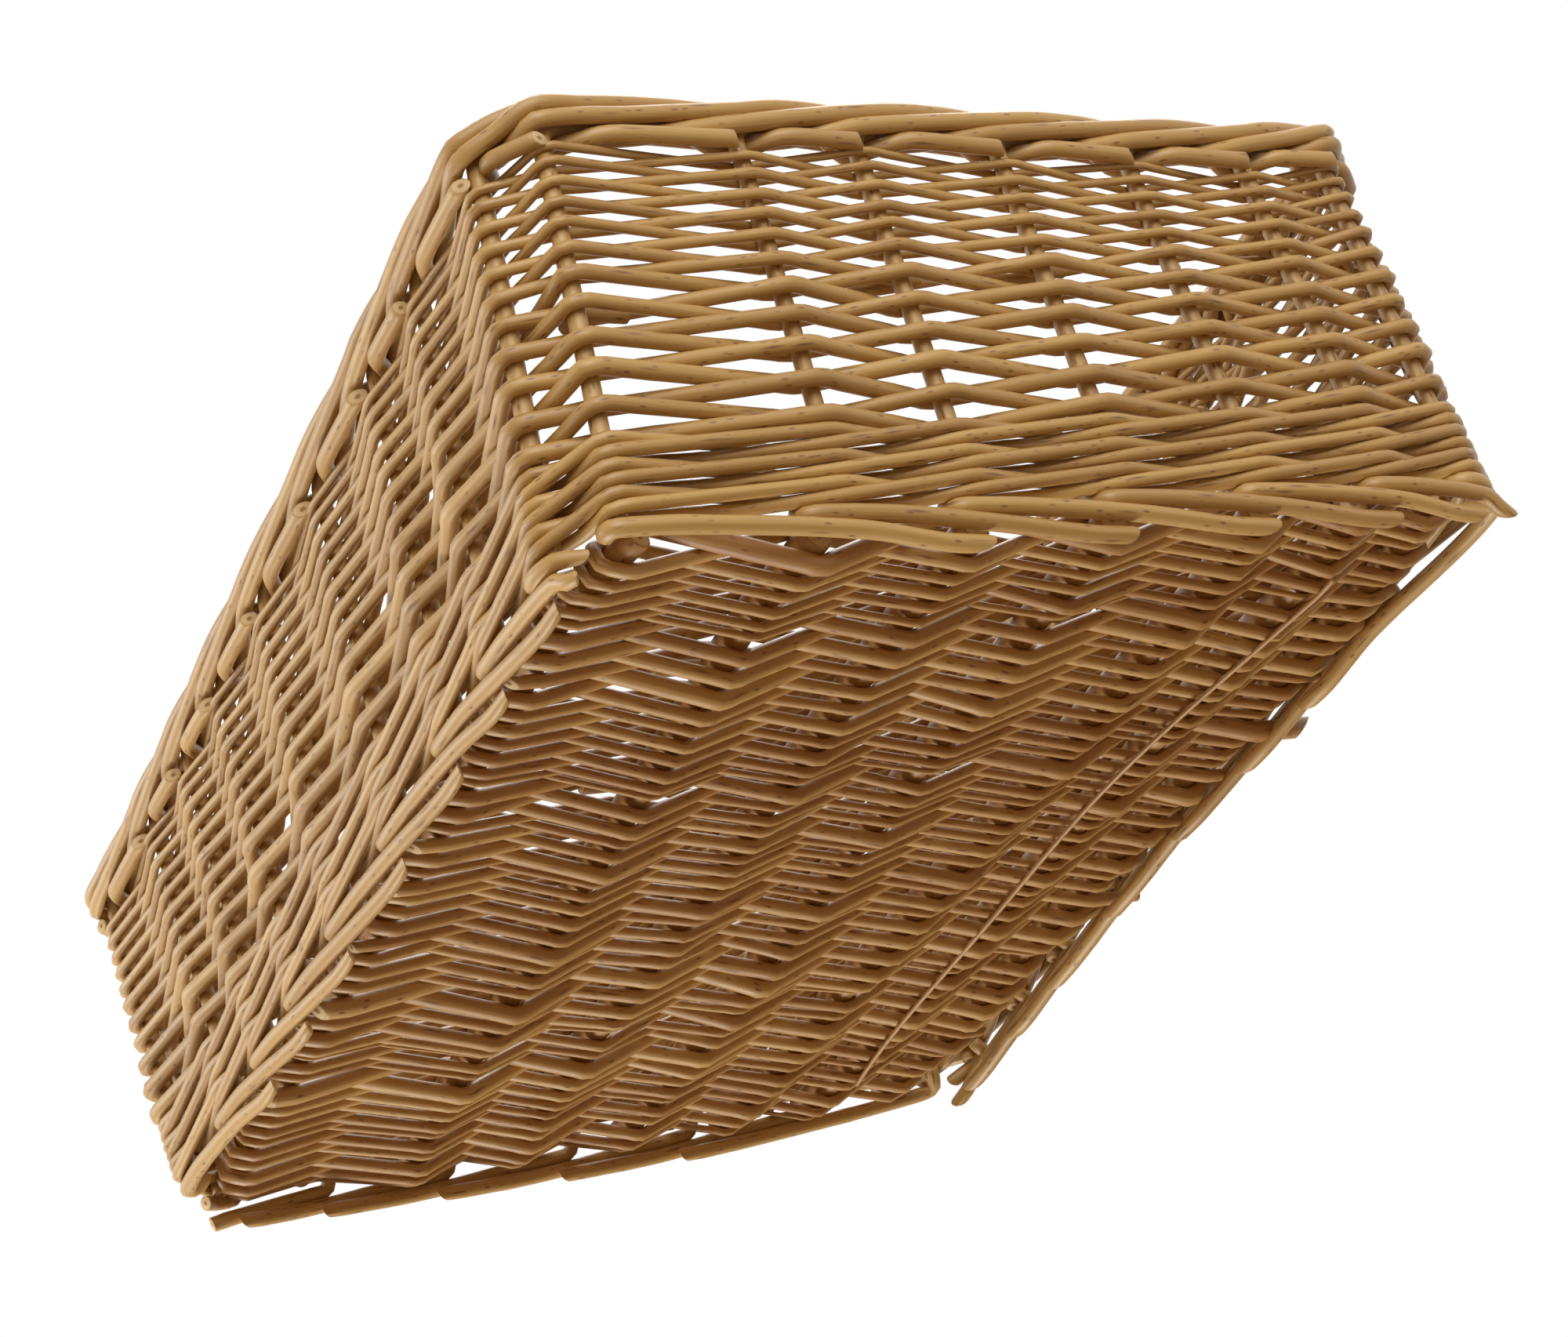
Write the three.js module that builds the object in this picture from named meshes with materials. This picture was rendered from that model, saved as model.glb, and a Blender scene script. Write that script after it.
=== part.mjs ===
// Wicker shelf basket woven from peeled willow rods.
// Millimetres, +Z up. The origin is the middle of the footprint, on the surface that the basket stands on.
// X runs along the short sides and Y along the long sides. The front is the short side at -Y.

import * as THREE from 'three';

// Overall sizes, measured over the outermost rods
const RIM_WIDTH = 300;
const RIM_LENGTH = 400;
const FOOT_WIDTH = 300;
const FOOT_LENGTH = 356;
const HEIGHT = 134;

// Rods, measured across their flats
const STAKE_ROD = 4.6;
const WALE_ROD = 3.5;
const SIDE_ROD = 2.9;
const BASE_ROD = 3.2;
const BASE_STICK = 8;
const SKEIN = 2.2;

// Room left between rods that bear on each other
const CLEARANCE = 0.35;

// Stakes: how far each corner stake stands back from the corner, and the gaps along a wall, whose shares
// run from corner to corner in the order in which the borders run
const CORNER_INSET = 13;
const SHORT_WALL_GAPS = [1.36, 0.87, 1.08, 1.02, 0.96, 0.71];
const LONG_WALL_GAPS = [1.16, 0.83, 0.86, 1, 1.19, 1.12, 0.81, 1.03];

// Foot: each stake's lower end kneels outwards and slopes down past the next stake to the floor, so that the
// foot is two rods deep. Places along it are counted in stakes ahead of the rod's own
const FOOT_REACH = 6.5;
const FOOT_END = 2;
const FOOT_FLAT = 1.9;
const FOOT_TOUCH = 1.85;
const KNEE_PLACE = 0.1;
const KNEE_BEND = 0.03;
const KNEE_LIFT = 0.4;
const KNEE_RISE = 1.6;

// Rim border: a stake's top goes behind one stake, in front of the next, over the top and back out to a cut
// end. The places are in stakes ahead of its own, the offsets outwards and the rises in border steps
const RIM_BORDER = [
  { ahead: 0.06, offset: 0, rise: -0.4 },
  { ahead: 0.5, offset: -1, rise: -0.1 },
  { ahead: 1, offset: -1.15, rise: 0.5 },
  { ahead: 1.5, offset: -0.6, rise: 1.2 },
  { ahead: 2, offset: 1.1, rise: 1.05 },
  { ahead: 2.5, offset: 0.9, rise: 2 },
  { ahead: 3, offset: -0.35, rise: 2.1 },
  { ahead: 3.5, offset: 0.57, rise: 0.3 },
  { ahead: 4.1, offset: 1.1, rise: 0 },
];

// Sides: chasing sets of weavers above a three-rod wale, whose lanes lie closer than a rod's own height
// because the strokes cross at a slant. Rounds are level, and step up over the last few stakes
const WALE_ROUNDS = 2;
const WALE_LANE = 0.82;
const SIDE_ROW_PITCH = 3.3;
const WEAVERS_IN_A_SET = 5;
const FIRST_WEAVER_STAKE = 19;
const STEP_RUN = 3;

// Base: sticks along Y, with weavers that turn round the outer sticks
const BASE_STICK_GAPS = [1.25, 1.05, 1, 1.05, 0.8, 0.7];
const BASE_ROW_PITCH = 3.65;
const BASE_WEAVERS = 6;
const BASE_LIFT = 7;
const BASE_DRAW_IN = 8;
const BASE_DRAW_RUN = 30;
const SKEIN_STICK = 5;

// Rods as they are modelled: five flats on a stake, six on a base stick, four on a weaver
const STAKE_SIDES = 5;
const STICK_SIDES = 6;
const WEAVER_SIDES = 4;

const WILLOW = { roughness: 0.62, metalness: 0 };
const stakeWillow = new THREE.MeshStandardMaterial({ color: '#c39a5f', ...WILLOW });
const weaverWillow = new THREE.MeshStandardMaterial({ color: '#c9a26a', ...WILLOW });
const baseWillow = new THREE.MeshStandardMaterial({ color: '#b98c55', ...WILLOW });

const basket = new THREE.Group();

const lerp = THREE.MathUtils.lerp;

// A rod's path runs straight from point to point, and each joint between two lengths is mitred. At each
// point a side direction says which way the section's own x axis faces, so that the rod doesn't twist
class RodPath extends THREE.Curve {
  constructor(points, sideways) {
    super();
    this.points = points;
    this.sideways = sideways;
  }

  getPoint(share, target = new THREE.Vector3()) {
    const place = share * (this.points.length - 1);
    const before = Math.min(Math.floor(place), this.points.length - 2);
    return target.lerpVectors(this.points[before], this.points[before + 1], place - before);
  }

  getPointAt(share, target) {
    return this.getPoint(share, target);
  }

  getTangentAt(share, target = new THREE.Vector3()) {
    const last = this.points.length - 1;
    const here = Math.round(share * last);
    const arriving = new THREE.Vector3();
    const leaving = new THREE.Vector3();
    if (here > 0) arriving.subVectors(this.points[here], this.points[here - 1]).normalize();
    if (here < last) leaving.subVectors(this.points[here + 1], this.points[here]).normalize();
    return target.addVectors(arriving, leaving).normalize();
  }

  computeFrenetFrames(steps) {
    const frames = { tangents: [], normals: [], binormals: [] };
    for (let step = 0; step <= steps; step += 1) {
      const tangent = this.getTangentAt(step / steps);
      const binormal = new THREE.Vector3().crossVectors(tangent, this.sideways[step]).normalize();
      frames.tangents.push(tangent);
      frames.binormals.push(binormal);
      frames.normals.push(new THREE.Vector3().crossVectors(binormal, tangent));
    }
    return frames;
  }
}

function cornerRadius(acrossFlats, sides) {
  return acrossFlats / 2 / Math.cos(Math.PI / sides);
}

// A section with one flat facing the given direction in its own plane
function rodSection(acrossFlats, sides, facing = 0) {
  const radius = cornerRadius(acrossFlats, sides);
  const corners = [];
  for (let side = 0; side < sides; side += 1) {
    const angle = facing + ((side + 0.5) * 2 * Math.PI) / sides;
    corners.push(new THREE.Vector2(radius * Math.cos(angle), radius * Math.sin(angle)));
  }
  return new THREE.Shape(corners);
}

const UP = new THREE.Vector3(0, 0, 1);
const ALONG_Y = new THREE.Vector3(0, 1, 0);

// A rod with one side direction all along it, or with one for each of its points
function addRod(name, points, sideways, section, material) {
  const directions = Array.isArray(sideways) ? sideways : points.map(() => sideways);
  const geometry = new THREE.ExtrudeGeometry(section, {
    steps: points.length - 1,
    bevelEnabled: false,
    extrudePath: new RodPath(points, directions),
  });
  const rod = new THREE.Mesh(geometry, material);
  rod.name = name;
  basket.add(rod);
}

// How far a weaver's axis stands off the axis of a rod that it bends round, when it slants across to the
// other side of the next one: the slant brings it nearer, so the offset is wider than the reach
function weavingOffset(reach, gap) {
  return reach / Math.sqrt(1 - ((2 * reach) / gap) ** 2);
}

// Shares of a run at which its gaps end, starting from 0
function sharesOf(gaps) {
  const total = gaps.reduce((sum, gap) => sum + gap, 0);
  let run = 0;
  return [0, ...gaps.map((gap) => (run += gap) / total)];
}

// Heights, from the floor up
const stakeRadius = cornerRadius(STAKE_ROD, STAKE_SIDES);
const borderStep = 2 * stakeRadius + CLEARANCE;
const footAxis = STAKE_ROD / 2;
const kneeAxis = footAxis + 2 * borderStep + KNEE_LIFT;
const kneeTop = kneeAxis + KNEE_RISE;
const waleDrop = WALE_LANE * (WALE_ROD + CLEARANCE);
const waleRound = 2 * waleDrop + WALE_ROD + CLEARANCE;
const waleBottom = kneeTop + stakeRadius / 2 + CLEARANCE;
const waleFirstAxis = waleBottom + waleDrop + WALE_ROD / 2;
const waleTop = waleFirstAxis + waleRound * (WALE_ROUNDS - 1) + waleDrop + WALE_ROD / 2;

// The rim border's rods that lie at no rise are at borderLow
const borderRises = RIM_BORDER.map(({ rise }) => rise);
const borderLow = HEIGHT - stakeRadius - Math.max(...borderRises) * borderStep;
const sideTop = borderLow + Math.min(...borderRises) * borderStep - stakeRadius - CLEARANCE;
const borderReach = Math.max(...RIM_BORDER.map(({ offset }) => offset)) * borderStep;

// The line of the stakes: a rectangle with cut corners whose half sizes change from foot to rim
const footHalfX = FOOT_WIDTH / 2 - FOOT_REACH - stakeRadius;
const footHalfY = FOOT_LENGTH / 2 - FOOT_REACH - stakeRadius;
const rimHalfX = RIM_WIDTH / 2 - borderReach - stakeRadius;
const rimHalfY = RIM_LENGTH / 2 - borderReach - stakeRadius;

// The steeper of the two leans of the walls, as a slope
const widening = Math.max(Math.abs(rimHalfX - footHalfX), Math.abs(rimHalfY - footHalfY));
const lean = widening / (borderLow - kneeAxis);

function halfSizes(z) {
  const share = THREE.MathUtils.clamp((z - kneeAxis) / (borderLow - kneeAxis), 0, 1);
  return [lerp(footHalfX, rimHalfX, share), lerp(footHalfY, rimHalfY, share)];
}

// The four walls in the order in which the borders run, seen from above: front, right, back, left
const walls = [
  { name: 'front', along: [1, 0], shares: sharesOf(SHORT_WALL_GAPS) },
  { name: 'right', along: [0, 1], shares: sharesOf(LONG_WALL_GAPS) },
  { name: 'back', along: [-1, 0], shares: sharesOf(SHORT_WALL_GAPS) },
  { name: 'left', along: [0, -1], shares: sharesOf(LONG_WALL_GAPS) },
];

const stakes = [];
for (const wall of walls) {
  wall.shares.forEach((share, place) => {
    const first = place === 0;
    const last = place === wall.shares.length - 1;
    stakes.push({ wall, share, turn: first ? -1 : last ? 1 : 0, name: `stake_${wall.name}_${place + 1}` });
  });
}
const stakeCount = stakes.length;

function stakeAt(index) {
  return stakes[((index % stakeCount) + stakeCount) % stakeCount];
}

// Outward direction at a stake, turned from square to its wall towards the cut corner beside it
const CUT_TURN = Math.PI / 4;

function outward(index, turned) {
  const { wall, turn } = stakeAt(index);
  const [alongX, alongY] = wall.along;
  return new THREE.Vector3(alongY, -alongX, 0).applyAxisAngle(UP, turn * turned);
}

// A point at a stake, on a line that stays parallel to the wall and to the cut corner at that offset
function stakePoint(index, offset, z) {
  const { wall, share, turn } = stakeAt(index);
  const [alongX, alongY] = wall.along;
  const [halfX, halfY] = halfSizes(z);
  const halfRun = Math.abs(alongX) * halfX + Math.abs(alongY) * halfY - CORNER_INSET;
  const halfAcross = Math.abs(alongX) * halfY + Math.abs(alongY) * halfX;
  const run = lerp(-halfRun, halfRun, share) + offset * Math.tan(CUT_TURN / 2) * turn;
  const across = halfAcross + offset;
  return new THREE.Vector3(alongX * run + alongY * across, alongY * run - alongX * across, z);
}

// A point at any place round the basket, counted in stakes, at an offset outwards from the stakes' line
function wallPoint(place, offset, z) {
  const before = Math.floor(place);
  return stakePoint(before, offset, z).lerp(stakePoint(before + 1, offset, z), place - before);
}

// Outward direction at any such place, square to the stakes' line or, at a bend in it, halfway between
function outwardAt(place) {
  const nearby = 0.01;
  const here = wallPoint(place, 0, 0);
  const arriving = here.clone().sub(wallPoint(place - nearby, 0, 0)).normalize();
  const leaving = wallPoint(place + nearby, 0, 0).sub(here).normalize();
  return arriving.add(leaving).normalize().cross(UP);
}

function gapAfter(index) {
  const gapAt = (z) => stakePoint(index, 0, z).distanceTo(stakePoint(index + 1, 0, z));
  return Math.min(gapAt(borderLow), gapAt(kneeAxis));
}

function offsetAtStake(index, rod) {
  const reach = stakeRadius + (rod / 2) * (1 + lean) + CLEARANCE;
  return weavingOffset(reach, Math.min(gapAfter(index - 1), gapAfter(index)));
}

// A weaving rod passing a stake, inside it or outside it: outside a corner stake it bends in two places
function passing(index, offset, z) {
  const axis = stakePoint(index, 0, z);
  if (stakeAt(index).turn === 0) return [stakePoint(index, offset, z)];
  const turns = offset < 0 ? [CUT_TURN / 2] : [0, CUT_TURN];
  if (stakeAt(index).turn < 0) turns.reverse();
  return turns.map((turned) => axis.clone().addScaledVector(outward(index, turned), offset));
}

// The top round stops where it would step up
function roundsClimbed(count) {
  const full = Math.floor(count / stakeCount);
  return full + Math.max(0, 1 - ((full + 1) * stakeCount - count) / STEP_RUN);
}

function stakesPassed(rounds) {
  return rounds * stakeCount - STEP_RUN + 1;
}

// Stakes. Each is one rod: from its trimmed end on the floor along the foot, up over the knee, up through
// the weave, and round the rim border
function stakePath(index) {
  const shoulder = KNEE_BEND / KNEE_PLACE;
  const nextStake = (1 - KNEE_PLACE) / (FOOT_TOUCH - KNEE_PLACE);
  const route = [
    { ahead: FOOT_END, offset: FOOT_REACH, z: footAxis },
    { ahead: FOOT_FLAT, offset: FOOT_REACH, z: footAxis },
    { ahead: FOOT_TOUCH, offset: FOOT_REACH, z: footAxis },
    { ahead: 1, offset: FOOT_REACH, z: lerp(kneeAxis, footAxis, nextStake) },
    { ahead: KNEE_PLACE, offset: FOOT_REACH, z: kneeAxis },
    { ahead: KNEE_BEND, offset: FOOT_REACH * shoulder, z: lerp(kneeAxis, kneeTop, shoulder) },
    { ahead: 0, offset: 0, z: kneeTop },
    { ahead: 0, offset: 0, z: sideTop },
  ];
  for (const { ahead, offset, rise } of RIM_BORDER) {
    route.push({ ahead, offset: offset * borderStep, z: borderLow + rise * borderStep });
  }
  return {
    points: route.map(({ ahead, offset, z }) => wallPoint(index + ahead, offset, z)),
    sideways: route.map(({ ahead }) => outwardAt(index + ahead)),
  };
}

const FACING_DOWN = -Math.PI / 2;
const stakeSection = rodSection(STAKE_ROD, STAKE_SIDES, FACING_DOWN);
for (let index = 0; index < stakeCount; index += 1) {
  const { points, sideways } = stakePath(index);
  addRod(stakes[index].name, points, sideways, stakeSection, stakeWillow);
}

// Wale. Three rods chase each other round the foot of the sides, each in front of two stakes and behind one
const WALE_RODS = 3;
const waleSection = rodSection(WALE_ROD, WEAVER_SIDES);

function walePath(rod) {
  const points = [];
  const passed = stakesPassed(WALE_ROUNDS);
  for (let count = 0; count < passed; count += 1) {
    const stake = FIRST_WEAVER_STAKE + count;
    const axis = waleFirstAxis + waleRound * roundsClimbed(count);
    const halfway = waleFirstAxis + waleRound * roundsClimbed(count + 0.5);
    const offset = offsetAtStake(stake, WALE_ROD);
    const stroke = (count + WALE_RODS - rod) % WALE_RODS;
    if (stroke === 0) {
      points.push(...passing(stake, offset, axis - waleDrop));
    } else if (stroke === 1) {
      points.push(...passing(stake, offset, axis + waleDrop));
      if (count < passed - 1) points.push(wallPoint(stake + 0.5, 0, halfway + waleDrop));
    } else {
      points.push(...passing(stake, -offset, axis));
      if (count < passed - 1) points.push(wallPoint(stake + 0.5, 0, halfway - waleDrop));
    }
  }
  return points;
}

for (let rod = 0; rod < WALE_RODS; rod += 1) {
  addRod(`wale_rod_${rod + 1}`, walePath(rod), UP, waleSection, weaverWillow);
}

// Side weavers. Two sets climb together, one passing outside the even stakes and the other outside the
// odd ones. Each set is pieced from rods that meet end to end half way between two stakes
const WEAVER_SETS = 2;
const sideSection = rodSection(SIDE_ROD, WEAVER_SIDES);
const sideBottom = waleTop + CLEARANCE;
const sideClimb = sideTop - sideBottom - SIDE_ROD;
const sideRounds = Math.floor((sideClimb / SIDE_ROW_PITCH + 1) / WEAVER_SETS);
const sideRowStep = sideClimb / (WEAVER_SETS * sideRounds - 1);

function sidePath(set, fromCount, toCount) {
  const points = [];
  const height = (count) =>
    sideBottom + SIDE_ROD / 2 + sideRowStep * (set + WEAVER_SETS * roundsClimbed(count));
  const meeting = (count) => wallPoint(FIRST_WEAVER_STAKE + count, 0, height(count));
  const butt = CLEARANCE / gapAfter(FIRST_WEAVER_STAKE + fromCount - 1);
  if (fromCount > 0) points.push(meeting(fromCount - 0.5 + butt));
  for (let count = fromCount; count < toCount; count += 1) {
    const stake = FIRST_WEAVER_STAKE + count;
    const side = (count + set) % WEAVER_SETS === 0 ? 1 : -1;
    points.push(...passing(stake, side * offsetAtStake(stake, SIDE_ROD), height(count)));
  }
  if (toCount < stakesPassed(sideRounds)) points.push(meeting(toCount - 0.5 - butt));
  return points;
}

for (let set = 0; set < WEAVER_SETS; set += 1) {
  for (let piece = 0; piece < WEAVERS_IN_A_SET; piece += 1) {
    const stakesInSet = stakesPassed(sideRounds);
    const fromCount = Math.round((stakesInSet * piece) / WEAVERS_IN_A_SET);
    const toCount = Math.round((stakesInSet * (piece + 1)) / WEAVERS_IN_A_SET);
    const name = `side_weaver_${piece * WEAVER_SETS + set + 1}`;
    addRod(name, sidePath(set, fromCount, toCount), UP, sideSection, weaverWillow);
  }
}

// Base. It lies inside the wale, drawn in a little at its ends where the corners are cut. A weaver turns
// round an outer stick in half a hexagon
const stickRadius = cornerRadius(BASE_STICK, STICK_SIDES);
const drawSlope = Math.atan(BASE_DRAW_IN / BASE_DRAW_RUN);
const baseReach = stickRadius / Math.cos(drawSlope) + BASE_ROD / 2 + CLEARANCE;
const turnReach = baseReach / Math.cos(Math.PI / STICK_SIDES);
const wallStakes = [...stakes.keys()].filter((index) => stakes[index].turn === 0);
const waleOffset = Math.max(...wallStakes.map((index) => offsetAtStake(index, WALE_ROD)));
const waleInnerFace = waleOffset + WALE_ROD / 2 + CLEARANCE;
const baseAxis = BASE_LIFT + BASE_ROD / 2 + turnReach;
const [wallHalfX, wallHalfY] = halfSizes(waleFirstAxis);
const outerStickX = wallHalfX - waleInnerFace - baseReach - BASE_ROD / 2;
const stickHalfLength = wallHalfY - waleInnerFace;
const baseHalfRun = stickHalfLength - BASE_ROD / 2;

const stickShares = sharesOf(BASE_STICK_GAPS);
const stickCount = stickShares.length;

function stickX(stick, y) {
  const drawn = THREE.MathUtils.clamp((Math.abs(y) - stickHalfLength + BASE_DRAW_RUN) / BASE_DRAW_RUN, 0, 1);
  const half = outerStickX - BASE_DRAW_IN * drawn;
  return lerp(-half, half, stickShares[stick]);
}

const stickSection = rodSection(BASE_STICK, STICK_SIDES);
for (let stick = 0; stick < stickCount; stick += 1) {
  const straight = stickHalfLength - BASE_DRAW_RUN;
  const stations = [-stickHalfLength, -straight, straight, stickHalfLength];
  const points = stations.map((y) => new THREE.Vector3(stickX(stick, y), y, baseAxis));
  addRod(`base_stick_${stick + 1}`, points, UP, stickSection, baseWillow);
}

// Base weavers run to and fro, over one stick and under the next, and turn round the outer sticks
const baseSection = rodSection(BASE_ROD, WEAVER_SIDES);
const baseRows = Math.floor((2 * baseHalfRun) / BASE_ROW_PITCH) + 1;
const firstRowY = (-(baseRows - 1) * BASE_ROW_PITCH) / 2;

function baseOffset(stick, y) {
  if (stick === 0 || stick === stickCount - 1) return turnReach;
  const before = stickX(stick, y) - stickX(stick - 1, y);
  const after = stickX(stick + 1, y) - stickX(stick, y);
  return weavingOffset(baseReach, Math.min(before, after));
}

function basePath(fromRow, toRow) {
  const points = [];
  for (let row = fromRow; row < toRow; row += 1) {
    const y = firstRowY + row * BASE_ROW_PITCH;
    const eastward = row % 2 === 0;
    for (let count = 0; count < stickCount; count += 1) {
      const stick = eastward ? count : stickCount - 1 - count;
      const side = (stick + row) % 2 === 0 ? 1 : -1;
      points.push(new THREE.Vector3(stickX(stick, y), y, baseAxis + side * baseOffset(stick, y)));
    }
    if (row === toRow - 1) break;
    const lastStick = eastward ? stickCount - 1 : 0;
    const outwards = eastward ? 1 : -1;
    const side = (lastStick + row) % 2 === 0 ? 1 : -1;
    for (const [turned, level] of [[1 / 3, 0.5], [2 / 3, -0.5]]) {
      const turnY = y + turned * BASE_ROW_PITCH;
      const turnX = stickX(lastStick, turnY) + outwards * baseReach;
      points.push(new THREE.Vector3(turnX, turnY, baseAxis + side * level * turnReach));
    }
  }
  return points;
}

for (let weaver = 0; weaver < BASE_WEAVERS; weaver += 1) {
  const fromRow = Math.round((baseRows * weaver) / BASE_WEAVERS);
  const toRow = Math.round((baseRows * (weaver + 1)) / BASE_WEAVERS);
  addRod(`base_weaver_${weaver + 1}`, basePath(fromRow, toRow), ALONG_Y, baseSection, baseWillow);
}

// A thin skein lies along the underside, beneath one of the sticks
const straightRun = stickHalfLength - BASE_DRAW_RUN;
const skeinDrop = baseOffset(SKEIN_STICK, 0) + BASE_ROD / 2 + CLEARANCE + SKEIN / 2;
const skeinEnds = [-straightRun, straightRun];
addRod(
  'base_skein',
  skeinEnds.map((y) => new THREE.Vector3(stickX(SKEIN_STICK, y), y, baseAxis - skeinDrop)),
  UP,
  rodSection(SKEIN, WEAVER_SIDES),
  baseWillow,
);

export default basket;
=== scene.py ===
"""A wicker shelf basket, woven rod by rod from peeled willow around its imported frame.

Lengths in the layout are millimetres and become metres where a rod is laid. The origin is the middle of the
footprint on the floor, Z is up, X runs along the short sides and Y along the long sides. Places round the
walls are counted in stakes, the way the borders run: along the front at -Y, then right, back and left.
"""

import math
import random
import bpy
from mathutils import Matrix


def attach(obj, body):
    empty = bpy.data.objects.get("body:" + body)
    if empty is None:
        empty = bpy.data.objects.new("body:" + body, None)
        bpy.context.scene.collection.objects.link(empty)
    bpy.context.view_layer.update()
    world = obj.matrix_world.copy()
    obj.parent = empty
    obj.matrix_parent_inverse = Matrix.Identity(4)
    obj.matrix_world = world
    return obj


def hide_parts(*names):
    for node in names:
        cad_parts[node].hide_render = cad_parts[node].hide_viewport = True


bl_info = {
    "name": "Willow shelf basket",
    "version": (1, 0, 0),
    "blender": (4, 5, 0),
    "location": "3D View > Sidebar > Basket",
    "description": "Weaves a rectangular willow shelf basket and sets a plain stage for it",
    "category": "Add Mesh",
}

import bpy
import numpy as np
from mathutils import Vector

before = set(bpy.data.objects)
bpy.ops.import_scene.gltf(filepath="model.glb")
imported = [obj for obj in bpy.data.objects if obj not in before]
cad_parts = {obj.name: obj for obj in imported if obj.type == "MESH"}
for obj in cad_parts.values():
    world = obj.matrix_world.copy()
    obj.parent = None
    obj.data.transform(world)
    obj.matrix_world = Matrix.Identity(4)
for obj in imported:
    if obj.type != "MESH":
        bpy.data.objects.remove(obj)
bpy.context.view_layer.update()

MM = 0.001

# Walls in the order of the borders: name, direction, and the shares of the gaps between its stakes
SHORT_WALL_GAPS = (1.36, 0.87, 1.08, 1.02, 0.96, 0.71)
LONG_WALL_GAPS = (1.16, 0.83, 0.86, 1, 1.19, 1.12, 0.81, 1.03)
WALLS = (
    ("front", (1, 0), SHORT_WALL_GAPS),
    ("right", (0, 1), LONG_WALL_GAPS),
    ("back", (-1, 0), SHORT_WALL_GAPS),
    ("left", (0, -1), LONG_WALL_GAPS),
)
CORNER_INSET = 13
CUT_TURN = math.pi / 4
STAKE_SLANT = 4

# How far the foot of the right wall is drawn in: shares of its length from the front, and distances there.
# The foot of the back wall bows outwards. Both fade out up the wall
RIGHT_DRAW = ((0, 0.15, 0.5, 1), (-4, 17, 25, 16))
DRAW_FADE = 5
BACK_BOW = 6

# The rim dips a little at one place on the front
SAG_PLACE = 5
SAG_RUN = 3.5
SAG_DROP = 4.5

# Heights of the walls and the weave
WALL_FOOT = 14.8
WALE_AXIS = 18.6
WALE_ROUND = 7.3
WALE_DROP = 1.85
SIDE_BOTTOM = 37.4
SIDE_TOP = 118.4
BORDER_LOW = 119.4
STAKE_HEIGHTS = (13.5, 24, 60, 90, BORDER_LOW - 6)

# Rim border: places in stakes ahead of the rod's own, offsets outwards and rises in rod thicknesses. A rod
# goes behind one stake, in front of two while it climbs, over the next, behind the fifth and out to its end
RIM_REACH = 1.1
RIM_CLEAR = 1.5
RIM_ROUTE = (
    (0, 0, 0.3),
    (0.03, -0.05, 1),
    (0.12, -0.3, 1.65),
    (0.27, -0.65, 1.95),
    (0.5, -1, 1.95),
    (0.75, -1.1, 1.8),
    (1, -1.1, 1.55),
    (1.25, -0.65, 1.15),
    (1.5, 0, 0.85),
    (1.75, 0.65, 0.8),
    (2, 1.05, 0.92),
    (2.5, 1.12, 1.35),
    (3, 1.1, 1.8),
    (3.25, 1.05, 2.05),
    (3.5, 0.85, 2.25),
    (3.75, 0.55, 2.36),
    (4, 0.2, 2.4),
    (4.3, -0.05, 2.38),
    (4.5, -0.15, 2.28),
    (4.75, -0.2, 1.5),
    (4.88, -0.65, 1),
    (5, -1, 0.6),
    (5.15, -0.1, 0.4),
    (5.3, 0.8, 0.2),
    (5.45, 1.08, 0),
    (5.94, 1.1, -0.2),
)

# Foot: each rod comes out under the wale beside its stake, turns at a knee and slopes down past the next
# stake to a cut end on the floor. Places in stakes ahead of its own, offsets outwards and heights
FOOT_REACH = 3.6
FOOT_CLEAR = 0.4
FOOT_KNEE = (
    (-0.21, -2, 16),
    (-0.22, 0.8, 13.4),
    (-0.21, 3, 12.5),
    (-0.1, FOOT_REACH, 12.2),
)
FOOT_ROUTE = (
    *FOOT_KNEE,
    (0.3, FOOT_REACH, 10.9),
    (1, 2.8, 7.3),
    (1.6, 1.2, 3.1),
    (1.86, 0.4, 2.45),
)

# At the back the rods slope less
BACK_FOOT_ROUTE = (
    (-0.21, -2, 16),
    (-0.22, 0.8, 12.6),
    (-0.21, 3, 11.2),
    (-0.1, FOOT_REACH, 10.6),
    (0.3, FOOT_REACH, 8.9),
    (1, 1.8, 5.2),
    (1.6, -1, 3),
    (1.86, -2, 2.45),
)

# On the left the rods keep closer to the line of the foot
LEFT_FOOT_ROUTE = (
    (-0.21, -2, 16),
    (-0.22, 0.6, 13.4),
    (-0.21, 2.2, 12.6),
    (-0.1, 2.8, 12.2),
    (0.3, 3, 11),
    (1, 2.5, 7.1),
    (1.6, 1.6, 3.3),
    (1.86, 1, 2.9),
)

# The last rod of each wall ends short on the cut corner
CORNER_FOOT_ROUTE = (
    *FOOT_KNEE,
    (0.12, FOOT_REACH, 11.6),
    (0.26, 3.3, 10.8),
    (0.4, 2.9, 9.8),
)
FOOT_ROUTES = {"front": FOOT_ROUTE, "right": FOOT_ROUTE, "back": BACK_FOOT_ROUTE, "left": LEFT_FOOT_ROUTE}

# A rod that reaches the corner runs straight on past it, this far for each gap between stakes
CORNER_RUN = 9

# Foot rods on the left: thickness as a share of the others', and at the end as a share of their own
LEFT_FOOT = 1.28
LEFT_TIP = 0.6

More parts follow.
